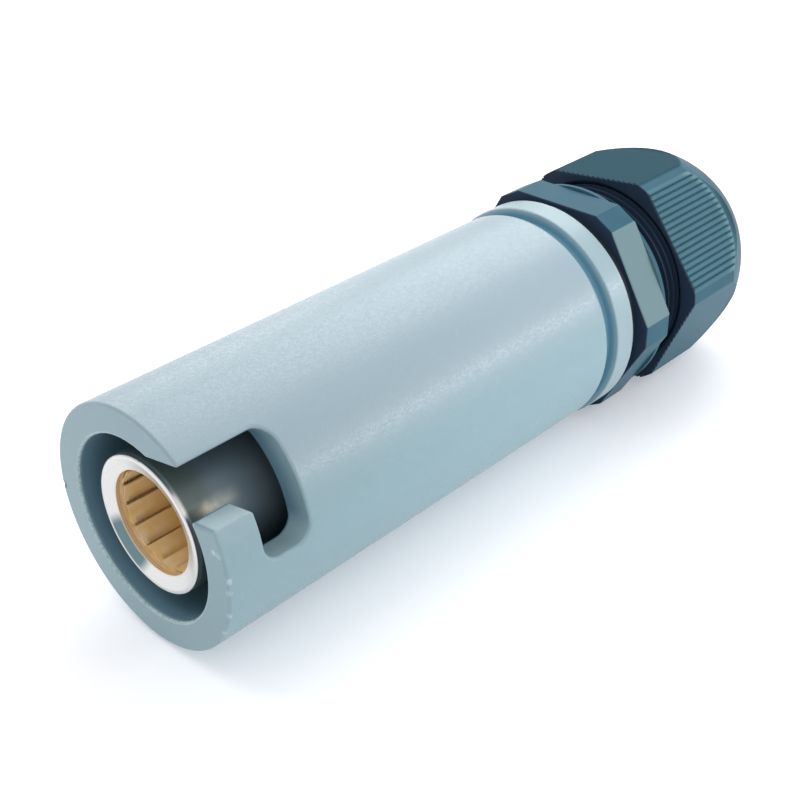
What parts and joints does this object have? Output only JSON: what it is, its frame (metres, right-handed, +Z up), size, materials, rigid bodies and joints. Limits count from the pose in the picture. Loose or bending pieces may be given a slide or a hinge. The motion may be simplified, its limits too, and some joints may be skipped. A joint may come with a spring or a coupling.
{
  "type": "power cable connector",
  "caption": "Power cable connector: grey insulating sleeve with an L-shaped bayonet slot, silver socket contact with a louvre band inside, and a black cable gland whose domed nut turns.",
  "frame": {"origin": "centre of the mating face, on the connector's axis", "axes": "+X along the axis towards the cable gland, +Z up as it lies on its side, +Y across"},
  "size_m": [0.1242, 0.0398, 0.0376],
  "materials": {
    "grey_plastic": "moulded, light blue-grey, satin",
    "black_plastic": "moulded, black with a blue cast, satin",
    "black_rubber": "plain, matt",
    "plated_contact": "silver-plated, turned",
    "gold_band": "stamped spring strip, gold-coloured",
    "bare_brass": "turned"
  },
  "bodies": {
    "base": {"insulating_sleeve": "grey_plastic", "contact_socket": "plated_contact", "contact_band": "gold_band", "contact_retaining_ring": "bare_brass", "end_ring": "grey_plastic", "gland_gasket": "black_rubber", "gland_body": "black_plastic"},
    "clamp_insert": {"clamping_cage": "black_plastic", "gland_seal": "black_rubber"},
    "nut": {"gland_nut": "black_plastic"}
  },
  "joints": [
    {"name": "clamp_slide", "type": "slide", "parent": "base", "child": "clamp_insert", "axis": [1, 0, 0], "range_m": [-0.00451, 0.00301]},
    {"name": "nut_turn", "type": "hinge", "parent": "clamp_insert", "child": "nut", "pos_m": [0.11, 0, 0], "axis": [1, 0, 0], "range_deg": [-1080, 720]}
  ],
  "couplings": [
    {"joint": "clamp_slide", "follows": "nut_turn", "m_per_rad": 0.00023873}
  ]
}
